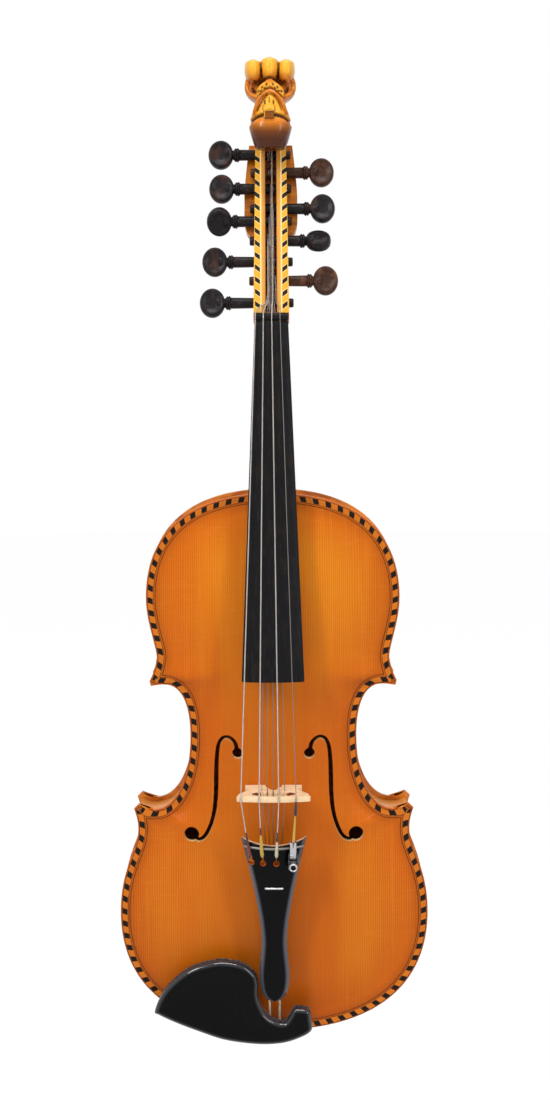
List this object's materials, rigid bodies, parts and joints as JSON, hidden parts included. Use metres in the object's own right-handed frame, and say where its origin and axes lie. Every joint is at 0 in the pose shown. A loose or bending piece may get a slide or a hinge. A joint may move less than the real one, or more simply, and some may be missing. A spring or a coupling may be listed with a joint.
{
  "type": "hardanger fiddle",
  "caption": "Hardanger fiddle with carved dragon head, chequered inlay, bowed strings over a flat bridge and sympathetic strings beneath, wooden pegs, tailpiece and chin rest.",
  "frame": {"origin": "the place behind the pegbox, under the shoulders, where a wall hanger holds the fiddle", "axes": "+Z along the neck towards the carved head, -Y to the front (top plate and strings), +X to the treble side"},
  "size_m": [0.199, 0.1025, 0.6374],
  "materials": {
    "spruce_varnished": "glossy orange varnish over fine straight grain, chequered edge inlay",
    "maple_varnished": "glossy brown-orange varnish",
    "rib_maple": "glossy, pale, with light flame",
    "head_maple": "glossy yellow-brown varnish, shaded towards brown, chequered inlay on the pegbox walls",
    "raw_spruce": "bare, planed",
    "ebony": "black, satin to glossy",
    "peg_wood": "black with brown wear, polished",
    "bridge_maple": "pale, unvarnished",
    "string_steel": "fine wound wire",
    "fittings_steel": "polished",
    "gut": "pale translucent cord",
    "cork": "granular, matt",
    "bone": "cream, satin"
  },
  "bodies": {
    "fiddle": {"top_plate": "spruce_varnished", "back_plate": "maple_varnished", "lower_rib_treble": "rib_maple", "lower_rib_bass": "rib_maple", "centre_rib_treble": "rib_maple", "centre_rib_bass": "rib_maple", "upper_rib_treble": "rib_maple", "upper_rib_bass": "rib_maple", "neck_block": "raw_spruce", "end_block": "raw_spruce", "lower_corner_block_treble": "raw_spruce", "upper_corner_block_treble": "raw_spruce", "top_lining_treble": "raw_spruce", "back_lining_treble": "raw_spruce", "lower_corner_block_bass": "raw_spruce", "upper_corner_block_bass": "raw_spruce", "top_lining_bass": "raw_spruce", "back_lining_bass": "raw_spruce", "bass_bar": "raw_spruce", "sound_post": "raw_spruce", "neck_pegbox": "head_maple", "carved_head": "head_maple", "fingerboard": "ebony", "nut": "ebony", "understring_nut": "bone", "string_g": "string_steel", "string_d": "string_steel", "string_a": "string_steel", "string_e": "string_steel", "understring_1": "string_steel", "understring_2": "string_steel", "understring_3": "string_steel", "understring_4": "string_steel", "understring_5": "string_steel", "bridge": "bridge_maple", "tailpiece": "ebony", "tailpiece_fret": "ebony", "understring_staple": "fittings_steel", "fine_tuner_frame": "fittings_steel", "saddle": "ebony", "end_button": "ebony", "tail_gut": "gut", "chinrest_plate": "ebony", "chinrest_cork_left": "cork", "chinrest_cork_right": "cork"},
    "bass_peg_1": {"bass_peg_1": "peg_wood"},
    "bass_peg_2": {"bass_peg_2": "peg_wood"},
    "bass_peg_3": {"bass_peg_3": "peg_wood"},
    "bass_peg_4": {"bass_peg_4": "peg_wood"},
    "bass_peg_5": {"bass_peg_5": "peg_wood"},
    "treble_peg_1": {"treble_peg_1": "peg_wood"},
    "treble_peg_2": {"treble_peg_2": "peg_wood"},
    "treble_peg_3": {"treble_peg_3": "peg_wood"},
    "treble_peg_4": {"treble_peg_4": "peg_wood"},
    "tuner_screw": {"fine_tuner_screw": "fittings_steel"},
    "tuner_lever": {"fine_tuner_lever": "fittings_steel"},
    "clamp_barrel_1": {"chinrest_barrel_1": "fittings_steel"},
    "clamp_barrel_2": {"chinrest_barrel_2": "fittings_steel"},
    "clamp_foot": {"chinrest_clamp_foot": "fittings_steel", "chinrest_cork_back": "cork"}
  },
  "joints": [
    {"name": "bass_peg_1_turn", "type": "hinge", "parent": "fiddle", "child": "bass_peg_1", "pos_m": [0, 0.00545, 0.05886], "axis": [1, 0, 0], "continuous": true},
    {"name": "bass_peg_2_turn", "type": "hinge", "parent": "fiddle", "child": "bass_peg_2", "pos_m": [0, -0.0012, 0.03712], "axis": [1, 0, 0], "continuous": true},
    {"name": "bass_peg_3_turn", "type": "hinge", "parent": "fiddle", "child": "bass_peg_3", "pos_m": [0, -0.00754, 0.01638], "axis": [1, 0, 0], "continuous": true},
    {"name": "bass_peg_4_turn", "type": "hinge", "parent": "fiddle", "child": "bass_peg_4", "pos_m": [0, -0.01538, -0.00925], "axis": [1, 0, 0], "continuous": true},
    {"name": "bass_peg_5_turn", "type": "hinge", "parent": "fiddle", "child": "bass_peg_5", "pos_m": [0, -0.02324, -0.03499], "axis": [1, 0, 0], "continuous": true},
    {"name": "treble_peg_1_turn", "type": "hinge", "parent": "fiddle", "child": "treble_peg_1", "pos_m": [0, 0.00192, 0.04733], "axis": [1, 0, 0], "continuous": true},
    {"name": "treble_peg_2_turn", "type": "hinge", "parent": "fiddle", "child": "treble_peg_2", "pos_m": [0, -0.0051, 0.02436], "axis": [1, 0, 0], "continuous": true},
    {"name": "treble_peg_3_turn", "type": "hinge", "parent": "fiddle", "child": "treble_peg_3", "pos_m": [0, -0.01134, 0.00395], "axis": [1, 0, 0], "continuous": true},
    {"name": "treble_peg_4_turn", "type": "hinge", "parent": "fiddle", "child": "treble_peg_4", "pos_m": [0, -0.01904, -0.02123], "axis": [1, 0, 0], "continuous": true},
    {"name": "tuner_screw_turn", "type": "hinge", "parent": "fiddle", "child": "tuner_screw", "pos_m": [0.0121, -0.0643, -0.38553], "axis": [0, 0.9942, 0.108], "range_deg": [0, 430]},
    {"name": "tuner_lever_tilt", "type": "hinge", "parent": "fiddle", "child": "tuner_lever", "pos_m": [0.0121, -0.06582, -0.37966], "axis": [1, 0, 0], "range_deg": [0, 5.8]},
    {"name": "clamp_barrel_1_turn", "type": "hinge", "parent": "fiddle", "child": "clamp_barrel_1", "pos_m": [-0.03619, -0.01412, -0.50509], "axis": [0, 1, 0], "range_deg": [0, 520]},
    {"name": "clamp_barrel_2_turn", "type": "hinge", "parent": "fiddle", "child": "clamp_barrel_2", "pos_m": [-0.019, -0.01412, -0.50807], "axis": [0, 1, 0], "range_deg": [0, 520]},
    {"name": "clamp_foot_slide", "type": "slide", "parent": "fiddle", "child": "clamp_foot", "axis": [0, 1, 0], "range_m": [0, 0.00194]}
  ],
  "couplings": [
    {"joint": "tuner_lever_tilt", "follows": "tuner_screw_turn", "ratio": 0.01326},
    {"joint": "clamp_barrel_1_turn", "follows": "clamp_foot_slide", "rad_per_m": 4488.3},
    {"joint": "clamp_barrel_2_turn", "follows": "clamp_foot_slide", "rad_per_m": 4488.3}
  ]
}
